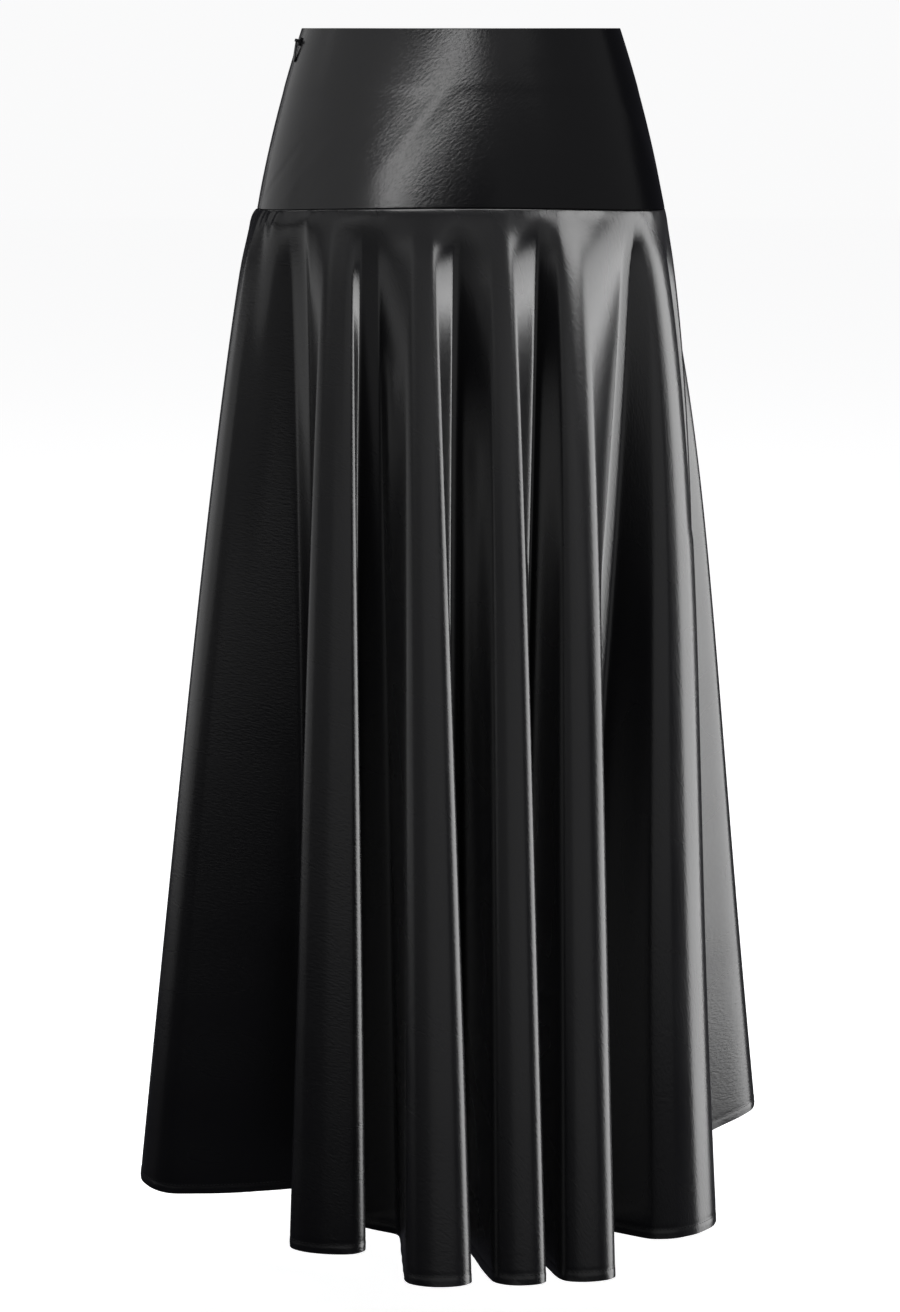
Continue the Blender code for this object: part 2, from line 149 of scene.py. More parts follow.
# Soft creases laid on the flutes, at an angle of the hip seam. They lean in degrees of that seam for each metre.
CREASE_START = 0.008  # how softly a crease starts
Crease = namedtuple("Crease", "angle_deg drop_m length_m width_m height_m lean_deg")
SKIRT_CREASES = (
    Crease(-72, 0.004, 0.090, 0.0050, 0.0012, 0),
    Crease(-66, 0.004, 0.060, 0.0045, -0.0010, 0),
    Crease(-60, 0.010, 0.200, 0.0100, 0.0014, -6),
    Crease(-49, 0.010, 0.240, 0.0080, -0.0014, 8),
    Crease(-45, 0.004, 0.045, 0.0028, 0.0009, 0),
    Crease(-32, 0.020, 0.110, 0.0100, -0.0012, 0),
    Crease(-31.3, 0.040, 0.950, 0.0055, 0.0009, 0),
    Crease(-18, 0.120, 0.300, 0.0090, 0.0010, -8),
    Crease(3, 0.180, 0.260, 0.0080, -0.0012, 5),
    Crease(15, 0.260, 0.300, 0.0080, 0.0010, 0),
    Crease(40, 0.300, 0.300, 0.0110, -0.0012, 6),
    Crease(70, 0.250, 0.350, 0.0140, 0.0012, -8),
    Crease(104, 0.010, 0.180, 0.0090, 0.0012, 6),
    Crease(111, 0.010, 0.150, 0.0080, -0.0012, 6),
    Crease(133, 0.200, 0.300, 0.0100, -0.0012, -5),
    Crease(146, 0.006, 0.110, 0.0060, 0.0010, 0),
    Crease(158, 0.020, 0.230, 0.0100, -0.0014, 7),
    Crease(176, 0.150, 0.300, 0.0100, 0.0012, -6),
    Crease(190, 0.010, 0.120, 0.0070, -0.0010, 0),
    Crease(207, 0.020, 0.240, 0.0110, 0.0014, 8),
    Crease(222, 0.200, 0.280, 0.0100, -0.0012, -8),
    Crease(236, 0.010, 0.160, 0.0080, 0.0012, 0),
    Crease(252, 0.006, 0.100, 0.0060, -0.0012, 0),
)
# Faint drag lines of the yoke, drawn from the hips towards the waist
YOKE_CREASES = (
    Crease(-10, 0.098, 0.020, 0.0032, 0.00022, -560),
    Crease(-16, 0.090, 0.026, 0.0040, -0.00026, -480),
    Crease(-8, 0.084, 0.030, 0.0050, 0.00026, -420),
    Crease(-2, 0.080, 0.034, 0.0046, -0.00022, -380),
    Crease(10, 0.050, 0.045, 0.0080, 0.00030, -330),
    Crease(25, 0.030, 0.060, 0.0120, -0.00035, 120),
    Crease(48, 0.060, 0.050, 0.0090, 0.00030, 260),
    Crease(60, 0.070, 0.050, 0.0070, -0.00030, 240),
    Crease(130, 0.090, 0.035, 0.0060, 0.00030, -260),
    Crease(142, 0.080, 0.040, 0.0080, -0.00030, -240),
    Crease(165, 0.040, 0.060, 0.0120, 0.00035, -60),
    Crease(200, 0.050, 0.060, 0.0120, -0.00035, 60),
    Crease(222, 0.085, 0.040, 0.0070, 0.00030, 300),
    Crease(232, 0.100, 0.030, 0.0060, -0.00030, 320),
)
# Stretches of the hip seam where the skirt is eased in
Pucker = namedtuple("Pucker", "first_deg last_deg pitch_m length_m height_m seed")
PUCKER_ONSET = 0.0012
PUCKERS = (
    Pucker(-77, -40, 0.0062, 0.012, 0.0008, 1),
    Pucker(-40, 97, 0.0090, 0.005, 0.0002, 2),
    Pucker(97, 130, 0.0070, 0.010, 0.0006, 3),
    Pucker(130, 235, 0.0085, 0.006, 0.0003, 4),
    Pucker(235, 283, 0.0066, 0.011, 0.0007, 5),
)


# The surface


def outward(angle):
    return np.array([math.sin(angle), -math.cos(angle)])


def along(angle):
    return np.array([math.cos(angle), math.sin(angle)])


def unit(vectors):
    return vectors / np.linalg.norm(vectors, axis=-1, keepdims=True)


def sampled(places, known, points):
    """Points known at one row of places, read at another."""
    return np.column_stack([np.interp(places, known, column) for column in points.T])


def flute_corners(flute):
    """Plan points over the rounded tip of one flute, and the two sides of the valley after it."""
    facing = math.radians(flute.facing_deg)
    depth = flute.rounding * flute.width_m
    shoulders = outward(math.radians(flute.crest_deg)) * flute.reach_m - outward(facing) * depth
    turns = np.radians(np.linspace(-90, 90, TIP_STEPS + 1))
    sideways, forwards = along(facing), outward(facing)
    tip = [
        shoulders + sideways * math.sin(turn) * flute.width_m / 2 + forwards * math.cos(turn) * depth
        for turn in turns
    ]
    valley_angle = math.radians(flute.valley_deg)
    valley = outward(valley_angle) * flute.valley_reach_m
    half_valley = along(valley_angle) * flute.valley_width_m / 2
    return [*tip, valley - half_valley, valley + half_valley]


def soften(values):
    """Rounds a closed row of values, one for each step of the outline, as the cloth's stiffness does."""
    frequency = np.fft.fftfreq(len(values), OUTLINE_STEP)
    kept = np.exp(-2 * (math.pi * FOLD_SOFTNESS * frequency) ** 2)
    if values.ndim == 2:
        kept = kept[:, None]
    return np.fft.ifft(np.fft.fft(values, axis=0) * kept, axis=0).real


def hem_outline():
    """The hem in plan, one point for each step round it, and the hip seam's angle above each of them."""
    corners = np.array([point for flute in FLUTES for point in flute_corners(flute)])
    sides = np.linalg.norm(np.roll(corners, -1, axis=0) - corners, axis=1)
    reached = np.concatenate([[0.0], np.cumsum(sides)])
    round_the_hem = reached[-1]
    count = round(round_the_hem / OUTLINE_STEP)
    steps = np.arange(count) * round_the_hem / count
    polygon = sampled(steps, reached, np.vstack([corners, corners[:1]]))

    for_one_flute = TIP_STEPS + 3
    crests = reached[TIP_STEPS // 2 :: for_one_flute]
    valleys = (reached[TIP_STEPS + 1 :: for_one_flute] + reached[TIP_STEPS + 2 :: for_one_flute]) / 2
    knots = np.column_stack([crests, valleys]).ravel()
    angles = np.radians([angle for flute in FLUTES for angle in (flute.seam_deg, flute.valley_seam_deg)])
    knots = np.concatenate([knots - round_the_hem, knots, knots + round_the_hem])
    angles = np.concatenate([angles - FULL_TURN, angles, angles + FULL_TURN])
    steady = steps / round_the_hem * FULL_TURN
    seam_angles = soften(np.interp(steps, knots, angles) - steady) + steady
    return soften(polygon), seam_angles


HEM, HEM_SEAM_ANGLES = hem_outline()
HEM_REACHED = np.concatenate([[0.0], np.cumsum(np.linalg.norm(np.roll(HEM, -1, axis=0) - HEM, axis=1))])


def round_hem(angles, values):
    """Values known at each step of the hem, read at these angles of the hip seam."""
    wrapped = (angles - HEM_SEAM_ANGLES[0]) % FULL_TURN + HEM_SEAM_ANGLES[0]
    known = np.append(HEM_SEAM_ANGLES, HEM_SEAM_ANGLES[0] + FULL_TURN)
    return np.interp(wrapped, known, values)


def hem_below(angles):
    closed = np.vstack([HEM, HEM[:1]])
    return np.column_stack([round_hem(angles, closed[:, axis]) for axis in (0, 1)])


def yoke_row(angles, drop):
    """A row of the yoke, drop metres below the waist, measured on the front."""
    share = drop / HIP_SEAM_DROP_FRONT
    rounding = 4 * YOKE_ROUNDING * share * (1 - share)
    half_width = WAIST_HALF_WIDTH + (HIP_SEAM_HALF_WIDTH - WAIST_HALF_WIDTH) * share + rounding
    half_depth = WAIST_HALF_DEPTH + (HIP_SEAM_HALF_DEPTH - WAIST_HALF_DEPTH) * share + rounding
    seam_drop = HIP_SEAM_DROP_FRONT + (HIP_SEAM_DROP_SIDE - HIP_SEAM_DROP_FRONT) * np.sin(angles) ** 2
    return np.column_stack([half_width * np.sin(angles), -half_depth * np.cos(angles), -share * seam_drop])


def hem_trend():
    """The hem without its flutes, at TREND_COUNT even angles of the hip seam."""
    angles = np.arange(TREND_COUNT) * FULL_TURN / TREND_COUNT
    hem = hem_below(angles) @ np.array([1, 1j])
    waves = np.fft.fft(hem)
    waves[TREND_WAVES + 1 : -TREND_WAVES] = 0
    hem = np.fft.ifft(waves)
    return np.column_stack([hem.real, hem.imag])


HEM_TREND = hem_trend()


def trend_below(angles):
    even = np.arange(TREND_COUNT + 1) * FULL_TURN / TREND_COUNT
    return sampled(angles % FULL_TURN, even, np.vstack([HEM_TREND, HEM_TREND[:1]]))


def skirt_row(angles, drop):
    """A row of the flared skirt, drop metres down its threads from the hip seam."""
    share = drop / THREAD_LENGTH
    start = yoke_row(angles, HIP_SEAM_DROP_FRONT)
    hem = hem_below(angles)
    trend = trend_below(angles)
    travel = np.linalg.norm(hem - start[:, :2], axis=1)
    fall = np.sqrt(THREAD_LENGTH**2 - travel**2)
    folded = share**FOLD_POWER * (1 - math.exp(-((share / FOLD_ONSET) ** 2)))
    plan = start[:, :2] + (trend - start[:, :2]) * share + (hem - trend) * folded
    row = np.column_stack([plan, start[:, 2] - fall * share])
    away = np.column_stack([np.sin(angles) / HIP_SEAM_HALF_WIDTH, -np.cos(angles) / HIP_SEAM_HALF_DEPTH])
    row[:, :2] += unit(away) * hip_bulge(angles, share)[:, None]
    return row


def hip_bulge(angles, share):
    """How far the cloth stands out from its cone: rolled below the seam, and rounded a quarter of the way down."""
    zip_side = (1 - np.sin(angles)) / 2
    roll = HIP_ROLL_PLAIN_SIDE + (HIP_ROLL_ZIP_SIDE - HIP_ROLL_PLAIN_SIDE) * zip_side
    rounding = HIP_ROUNDING_PLAIN_SIDE + (HIP_ROUNDING_ZIP_SIDE - HIP_ROUNDING_PLAIN_SIDE) * zip_side
    rolled = (1 - math.exp(-share / HIP_ROLL_SHARE)) * (1 - share)
    rounded = share * (1 - share) ** 3 / (0.25 * 0.75**3)
    return roll * rolled + rounding * rounded


# Grids of the surface, with the details that lie on it

# points, across, down and out are (rows, columns, 3). drop is metres down from the panel's top edge, and width is
# metres along each row from the panel's first edge. angles are the columns' own.
Grid = namedtuple("Grid", "points across down out drop width angles")


def spaced(length, first, last, most, growth=1.22):
    """Distances from 0 to length, close together at both ends."""

    def ramp(step):
        found = [0.0]
        while step < most:
            found.append(found[-1] + step)
            step *= growth
        return found

    head, tail = ramp(first), ramp(last)
    middle = length - head[-1] - tail[-1]
    count = max(1, round(middle / most))
    inside = head[-1] + np.arange(1, count) * middle / count
    return np.concatenate([head, inside, length - np.array(tail[::-1])])


def grid_of(row_at, angles, drops):
    """The surface at these angles and drops. Directions at an edge are those of the whole garment."""
    step = math.radians(0.1)
    wide = np.concatenate([[angles[0] - step], angles, [angles[-1] + step]])
    points = np.array([row_at(wide, drop) for drop in drops])
    across = unit(points[:, 2:] - points[:, :-2])
    down = unit(np.gradient(points[:, 1:-1], drops, axis=0))
    points = points[:, 1:-1]
    sides = np.linalg.norm(np.diff(points, axis=1), axis=2)
    width = np.concatenate([np.zeros((len(drops), 1)), np.cumsum(sides, axis=1)], axis=1)
    out = unit(np.cross(down, across))
    return Grid(points, across, down, out, np.repeat(drops[:, None], len(angles), axis=1), width, angles)


def crease_relief(grid, creases):
    """Soft troughs and ridges that start at a drop, die away over their length and lean across the cloth."""
    relief = np.zeros_like(grid.drop)
    drops = grid.drop[:, 0]
    for crease in creases:
        turns = np.radians(crease.angle_deg) + np.radians(crease.lean_deg) * drops
        for whole_turns in (0, FULL_TURN):
            inside = (turns + whole_turns > grid.angles[0]) & (turns + whole_turns < grid.angles[-1])
            if not inside.any():
                continue
            middle = np.array(
                [np.interp(turn + whole_turns, grid.angles, row) for turn, row in zip(turns, grid.width)]
            )
            away = (grid.width - middle[:, None]) / crease.width_m
            below = drops - crease.drop_m
            reach = np.where(below > 0, crease.length_m, CREASE_START)
            fade = np.exp(-np.abs(below / reach) ** 2)
            relief += crease.height_m * np.exp(-(away**2)) * fade[:, None]
    return relief


def pucker_relief(grid):
    """Small uneven gathers, where the skirt is eased on to the yoke, that die away below the seam."""
    relief = np.zeros_like(grid.drop)
    for pucker in PUCKERS:
        first, last = np.radians(pucker.first_deg), np.radians(pucker.last_deg)
        for whole_turns in (0, FULL_TURN):
            stretch = [first + whole_turns, last + whole_turns]
            place = np.interp(grid.angles, stretch, [0, 1], left=-1, right=-1)
            along_seam = grid.width[0] / pucker.pitch_m
            wave = noise(along_seam, np.full_like(along_seam, pucker.seed), 11) * 2
            wave = wave * np.where(place > 0, np.sin(np.clip(place, 0, 1) * math.pi) ** 0.5, 0)
            uneven = noise(along_seam / 2.3, np.full_like(along_seam, 9.0 + pucker.seed), 12)
            reach = pucker.length_m * (1 + 0.6 * uneven)
            fade = np.exp(-((grid.drop / reach[None, :]) ** 2)) * (1 - np.exp(-grid.drop / PUCKER_ONSET))
            relief += pucker.height_m * wave[None, :] * fade
    return relief


def eased_step(height, distance, softness):
    """A soft step: the full height before the edge and none beyond it."""
    return height / (1 + np.exp(np.clip(distance / softness, -40, 40)))


def facing_relief(grid):
    """The lower edge of the turning inside the waist shows through the yoke as a slight step."""
    wander = noise(grid.width / FACING_WANDER_LENGTH, np.zeros_like(grid.width), 21)
    edge = FACING_DROP + FACING_WANDER * wander
    return eased_step(FACING_STEP, grid.drop - edge, FACING_STEP_SOFTNESS)


def rolled_edge(distance, radius=SEAM_ROLL):
    """How far in a seamed edge lies, at a distance from it."""
    inside = np.clip(radius - distance, 0, radius)
    return radius - np.sqrt(radius**2 - inside**2)


def edge_distance(width):
    return np.minimum(width, width[:, -1:] - width)


def noise(u, v, seed):
    """Smooth noise from -1 to 1, with features about one unit across."""
    cells = np.random.default_rng(seed).uniform(-1, 1, (64, 64))
    column, row = np.floor(u).astype(int), np.floor(v).astype(int)
    s, t = u - column, v - row
    s, t = (x**3 * (x * (6 * x - 15) + 10) for x in (s, t))

    def corner(i, j):
        return cells[(row + j) % 64, (column + i) % 64]

    top = corner(0, 0) + (corner(1, 0) - corner(0, 0)) * s
    bottom = corner(0, 1) + (corner(1, 1) - corner(0, 1)) * s
    return top + (bottom - top) * t


def shell(name, outer, inner, cut, materials):
    """A thin closed piece between two grids of points. Its outside takes the first material and the rest the second.

    cut is where each point lies on the flat cloth.
    """
    rows, columns = outer.shape[:2]
    front = np.arange(rows * columns).reshape(rows, columns)
    back = front + rows * columns

    def strip(a, b):
        return np.stack([a[:-1], a[1:], b[1:], b[:-1]], axis=-1).reshape(-1, 4)

    def sheet(a):
        return np.stack([a[1:, :-1], a[1:, 1:], a[:-1, 1:], a[:-1, :-1]], axis=-1).reshape(-1, 4)

    outside = sheet(front)
    rest = [sheet(back)[:, ::-1], strip(front[0], back[0]), strip(back[-1], front[-1])]
    rest += [strip(back[:, 0], front[:, 0]), strip(front[:, -1], back[:, -1])]
    faces = np.concatenate([outside, *rest])
    mesh = bpy.data.meshes.new(name)
    points = np.concatenate([outer.reshape(-1, 3), inner.reshape(-1, 3)])
    mesh.from_pydata(points.tolist(), [], faces.tolist())
    for material in materials:
        mesh.materials.append(material)
    used = np.where(np.arange(len(faces)) < len(outside), 0, 1)
    mesh.polygons.foreach_set("material_index", used.astype(np.int32))
    flat = mesh.attributes.new("cut", "FLOAT_VECTOR", "POINT")
    flat.data.foreach_set("vector", np.tile(cut.reshape(-1, 3), (2, 1)).astype(np.float32).ravel())
    mesh.shade_smooth()
    mesh.set_sharp_from_angle(angle=math.radians(60))
    obj = bpy.data.objects.new(name, mesh)
    bpy.context.scene.collection.objects.link(obj)
    return obj


def panel(name, grid, raised, cut, materials):
    """A shell on a grid, moved out by raised metres, with half of the seams' gap taken off its two sides."""
    points = grid.points.copy()
    points[:, 0] += grid.across[:, 0] * SEAM_GAP / 2
    points[:, -1] -= grid.across[:, -1] * SEAM_GAP / 2
    inner = points - grid.out * CLOTH + grid.out * np.minimum(raised, 0)[..., None]
    outer = points + grid.out * raised[..., None]
    return shell(name, outer, inner, cut, materials)


def yoke_panel(name, start_deg, end_deg, materials):
    start, end = math.radians(start_deg), math.radians(end_deg)
    side = EDGE_STEP / (end - start)
    angles = start + (end - start) * spaced(1.0, side, side, 1 / YOKE_COLUMNS)
    drops = spaced(HIP_SEAM_DROP_FRONT - SEAM_GAP / 2, EDGE_STEP, EDGE_STEP, YOKE_ROW_STEP)
    grid = grid_of(yoke_row, angles, drops)
    raised = -rolled_edge(edge_distance(grid.width))
    raised -= rolled_edge(grid.drop[-1:] - grid.drop) + rolled_edge(grid.drop, WAIST_ROLL)
    raised += crease_relief(grid, YOKE_CREASES) + facing_relief(grid)
    middle = grid.width[:, -1:] / 2
    cut = np.stack([grid.width - middle, -grid.drop, np.zeros_like(grid.drop)], axis=-1)
    return panel(name, grid, raised, cut, materials), flat_size(cut)


def skirt_angles(start, end, count):
    """Columns between two angles of the hip seam, closest together where the hem below them bends most."""
    angles = np.concatenate([HEM_SEAM_ANGLES, HEM_SEAM_ANGLES + FULL_TURN])
    sides = np.diff(np.vstack([HEM, HEM, HEM[:1]]), axis=0)
    lengths = np.linalg.norm(sides, axis=1)
    headings = np.unwrap(np.arctan2(sides[:, 1], sides[:, 0]))
    bends = np.abs(np.diff(headings, prepend=headings[0]))
    effort = np.cumsum(lengths / 0.005 + bends / math.radians(6))
    first, last = np.interp([start, end], angles, effort)
    edge = 0.06 / (last - first)
    return np.interp(first + (last - first) * spaced(1.0, edge, edge, 1 / count, 1.5), effort, angles)


def skirt_panel(name, start_deg, end_deg, materials):
    start, end = math.radians(start_deg), math.radians(end_deg)
    angles = skirt_angles(start, end, SKIRT_COLUMNS)
    drops = SEAM_GAP / 2 + spaced(THREAD_LENGTH - SEAM_GAP / 2, EDGE_STEP, HEM_EDGE_STEP, SKIRT_ROW_STEP)
    grid = grid_of(skirt_row, angles, drops)
    hem_at = round_hem(angles, HEM_REACHED)
    hem_at = hem_at + np.where(hem_at < hem_at[0], HEM_REACHED[-1], 0.0)
    raised = -rolled_edge(edge_distance(grid.width)) - rolled_edge(grid.drop - grid.drop[0])
    raised += hem_relief(grid, hem_at) + crease_relief(grid, SKIRT_CREASES) + pucker_relief(grid)
    cut = flat_sector(grid, hem_at)
    return panel(name, grid, raised, cut, materials), flat_size(cut), grid, raised


def flat_sector(grid, hem_at):
    """Where each point lies on the flat cut, a sector whose middle line is the panel's own."""
    hem_width = hem_at[-1] - hem_at[0]
    seam_width = grid.width[0, -1]
    sector = (hem_width - seam_width) / THREAD_LENGTH
    inner_radius = seam_width / sector
    turn = ((hem_at - hem_at[0]) / hem_width - 0.5) * sector
    radius = inner_radius + grid.drop
    return np.stack([radius * np.sin(turn), -radius * np.cos(turn), np.zeros_like(grid.drop)], axis=-1)


def flat_size(cut):
    """The width and length of a flat cut, and its area."""
    outline = np.concatenate([cut[0], cut[1:, -1], cut[-1, -2::-1], cut[-2:0:-1, 0]])[:, :2]
    x, y = outline.T
    area = abs(np.sum(x * np.roll(y, -1) - y * np.roll(x, -1))) / 2
    width, length = np.ptp(outline, axis=0)
    return (float(width), float(length)), float(area)


def hem_relief(grid, hem_at):
    """The turned-up hem stands out a little, dips along its stitching and ropes slightly."""
    up = grid.drop[-1:] - grid.drop
    turned = eased_step(HEM_STEP, up - HEM_TURN, HEM_STEP_SOFTNESS)
    dip = -HEM_DIP * np.exp(-(((up - HEM_TURN) / HEM_DIP_WIDTH) ** 2))
    slanting = hem_at[None, :] / HEM_RIPPLE_LENGTH + up / HEM_RIPPLE_SLANT
    rope = HEM_RIPPLE * noise(slanting, np.zeros_like(up), 5)
    return turned + dip + rope * np.exp(-up / HEM_RIPPLE_REACH)


# Materials

THREAD_SHINE = 0.15
WAVE_SCALE = 0.31  # turns a pitch in metres into a wave texture's scale


def new_material(name):
    material = bpy.data.materials.new(name)
    material.use_nodes = True
    return material, material.node_tree, material.node_tree.nodes["Principled BSDF"]


def node(tree, kind, inputs=None, **settings):
    made = tree.nodes.new(kind)
    for key, value in settings.items():
        setattr(made, key, value)
    for key, value in (inputs or {}).items():
        if isinstance(value, bpy.types.NodeSocket):
            tree.links.new(value, made.inputs[key])
        else:
            made.inputs[key].default_value = value
    return made


def streaks(tree, place, direction_deg, length, width, detail=2.0):
    """Noise drawn out into streaks of that length and width, lying at an angle on the flat cloth."""
    turn = (0, 0, -math.radians(direction_deg))
    stretch = (1 / length, 1 / width, 1)
    turned = node(tree, "ShaderNodeMapping", {"Vector": place, "Rotation": turn})
    scaled = node(tree, "ShaderNodeMapping", {"Vector": turned.outputs[0], "Scale": stretch})
    texture = node(tree, "ShaderNodeTexNoise", {"Vector": scaled.outputs[0], "Scale": 1.0, "Detail": detail})
    return texture.outputs[0]


def tint(tree, shader, colour, texture, spread):
    """Makes the shader's colour darker and lighter with a texture, over a spread of factors."""
    shade = node(tree, "ShaderNodeMapRange", {"Value": texture, **spread})
    tinted = node(tree, "ShaderNodeVectorMath", {0: colour[:3], "Scale": shade.outputs[0]}, operation="SCALE")
    tree.links.new(tinted.outputs[0], shader.inputs["Base Color"])


def satin(name, streak_deg, colour, roughness):
    """Satin: a smooth gloss broken by a fine slanting crinkle, with slow changes in how sharply it shines."""
    material, tree, shader = new_material(name)
    place = node(tree, "ShaderNodeAttribute", attribute_name="cut").outputs["Vector"]
    fine = streaks(tree, place, streak_deg, 0.0030, 0.0009)
    broad = streaks(tree, place, streak_deg, 0.0046, 0.0017)
    slow = streaks(tree, place, streak_deg, 0.09, 0.05, 0.0)
    bump = node(tree, "ShaderNodeBump", {"Height": broad, "Distance": 0.00011})
    bump = node(tree, "ShaderNodeBump", {"Height": fine, "Distance": 0.00006, "Normal": bump.outputs[0]})
    evenness = {"From Min": 0.2, "From Max": 0.8, "To Min": roughness - 0.02, "To Max": roughness + 0.02}
    gloss = node(tree, "ShaderNodeMapRange", {"Value": slow, **evenness})
    tree.links.new(gloss.outputs[0], shader.inputs["Roughness"])
    tree.links.new(bump.outputs[0], shader.inputs["Normal"])
    tint(tree, shader, colour, fine, {"From Min": 0.3, "From Max": 0.7, "To Min": 0.8, "To Max": 1.3})
    return material


def threadlike(name, colour, roughness, grain, depth):
    """Thread and nylon: a dull dark surface with an even fine grain."""
    material, tree, shader = new_material(name)
    place = node(tree, "ShaderNodeTexCoord").outputs["Object"]
    texture = node(tree, "ShaderNodeTexNoise", {"Vector": place, "Scale": 1 / grain, "Detail": 2.0}).outputs[0]
    bump = node(tree, "ShaderNodeBump", {"Height": texture, "Distance": depth})
    tint(tree, shader, colour, texture, {"To Min": 0.5, "To Max": 1.6})
    tree.links.new(bump.outputs[0], shader.inputs["Normal"])
    shader.inputs["Roughness"].default_value = roughness
    shader.inputs["Specular IOR Level"].default_value = THREAD_SHINE
    return material


def ribbed_tape(name, colour):
    """Woven tape, with its warp and weft as crossed waves on the flat tape."""
    material, tree, shader = new_material(name)
    place = node(tree, "ShaderNodeAttribute", attribute_name="cut").outputs["Vector"]
    warp, weft = (
        node(tree, "ShaderNodeTexWave", {"Vector": place, "Scale": WAVE_SCALE / pitch}, bands_direction=axis)
        for axis, pitch in (("X", 0.0009), ("Y", 0.0006))
    )
    crossed = {0: warp.outputs[0], 1: weft.outputs[0]}
    weave = node(tree, "ShaderNodeMath", crossed, operation="MULTIPLY").outputs[0]
    bump = node(tree, "ShaderNodeBump", {"Height": weave, "Distance": 0.00012})
    tint(tree, shader, colour, weave, {"To Min": 0.6, "To Max": 1.5})
    tree.links.new(bump.outputs[0], shader.inputs["Normal"])
    shader.inputs["Roughness"].default_value = 0.8
    return material


def enamelled(name, colour):
    """Enamelled zinc: smooth, with the faint unevenness of a dipped coat."""
    material, tree, shader = new_material(name)
    place = node(tree, "ShaderNodeTexCoord").outputs["Object"]
    texture = node(tree, "ShaderNodeTexNoise", {"Vector": place, "Scale": 900.0, "Detail": 3.0}).outputs[0]
    bump = node(tree, "ShaderNodeBump", {"Height": texture, "Distance": 0.00002})
    gloss = node(tree, "ShaderNodeMapRange", {"Value": texture, "To Min": 0.22, "To Max": 0.42})
    tree.links.new(gloss.outputs[0], shader.inputs["Roughness"])
    tree.links.new(bump.outputs[0], shader.inputs["Normal"])
    shader.inputs["Base Color"].default_value = colour
    shader.inputs["Metallic"].default_value = 0.3
    return material


SATIN_BLACK = (0.003, 0.003, 0.0036, 1.0)
REVERSE_BLACK = (0.009, 0.009, 0.010, 1.0)
TAPE_BLACK = (0.012, 0.012, 0.013, 1.0)
ENAMEL_BLACK = (0.008, 0.008, 0.009, 1.0)
THREAD_BLACK = (0.0015, 0.0015, 0.0017, 1.0)
skirt_satin = satin("skirt_satin", -50, SATIN_BLACK, 0.27)
yoke_satin = satin("yoke_satin", 38, SATIN_BLACK, 0.22)
reverse = satin("satin_reverse", -50, REVERSE_BLACK, 0.6)
thread = threadlike("thread", THREAD_BLACK, 0.65, 0.0008, 0.00008)
nylon = threadlike("nylon", TAPE_BLACK, 0.4, 0.0004, 0.00003)
woven_tape = ribbed_tape("woven_tape", TAPE_BLACK)
enamel = enamelled("enamelled_metal", ENAMEL_BLACK)


def on_body(obj, body, slot, *nodes):
    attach(obj, body)
    if nodes:
        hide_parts(*nodes)
    return obj


# Sewing


def mesh_piece(name, vertices, faces, material):
    mesh = bpy.data.meshes.new(name)
    mesh.from_pydata(np.asarray(vertices).tolist(), [], faces)
    mesh.materials.append(material)
    mesh.shade_smooth()
    obj = bpy.data.objects.new(name, mesh)
    bpy.context.scene.collection.objects.link(obj)
    return obj


def tube(rings):
    """Faces of a closed tube through rings of points, (rings, sides), numbered in order."""
    count, sides = rings
    numbers = np.arange(count * sides).reshape(rings)
    turned = np.roll(numbers, -1, axis=1)
    walls = np.stack([numbers[:-1], numbers[1:], turned[1:], turned[:-1]], axis=-1).reshape(-1, 4).tolist()
    return [*walls, numbers[0].tolist(), numbers[-1, ::-1].tolist()]


def stitch_line(name, points, outs, aheads, material):
    """A row of stitches: short rounded strands that lie on the cloth and dive in at both ends."""
    places = np.array([-0.5, -0.36, -0.12, 0.12, 0.36, 0.5]) * STITCH_LENGTH
    lifts = np.array([-0.9, 0.2, 0.55, 0.55, 0.2, -0.9]) * STITCH_RADIUS
    radii = np.array([0.35, 0.85, 1.0, 1.0, 0.85, 0.35]) * STITCH_RADIUS
    turns = np.radians(np.arange(0, 360, STITCH_SIDES_DEG))
    sides = np.cross(outs, aheads)
    centres = points[:, None] + aheads[:, None] * places[:, None] + outs[:, None] * lifts[:, None]
    round_it = sides[:, None] * np.cos(turns)[:, None] + outs[:, None] * np.sin(turns)[:, None]
    vertices = centres[:, :, None] + round_it[:, None] * radii[:, None, None]
    one = tube((len(places), len(turns)))
    step = len(places) * len(turns)
    faces = [[corner + stitch * step for corner in face] for stitch in range(len(points)) for face in one]
    return mesh_piece(name, vertices.reshape(-1, 3), faces, material)


def hem_stitches(name, grid, raised, material):
    """Stitches along the turned-up hem of one skirt panel."""
    drops = grid.drop[:, 0]
    row = int(np.argmin(np.abs(drops[-1] - drops - HEM_TURN)))
    surface = grid.points[row] + grid.out[row] * raised[row][:, None]
    reached = grid.width[row]
    places = np.arange(STITCH_PITCH, reached[-1] - STITCH_PITCH, STITCH_PITCH)
    points, outs, aheads = (
        sampled(places, reached, values) for values in (surface, grid.out[row], grid.across[row])
    )
    return stitch_line(name, points, unit(outs), unit(aheads), material)


# The side zip


def side_row(angles, reach):
    """A row of the garment's outer surface, reach metres down the cloth from the waist."""
    if reach <= HIP_SEAM_DROP_FRONT:
        return yoke_row(angles, reach)
    return skirt_row(angles, reach - HIP_SEAM_DROP_FRONT)


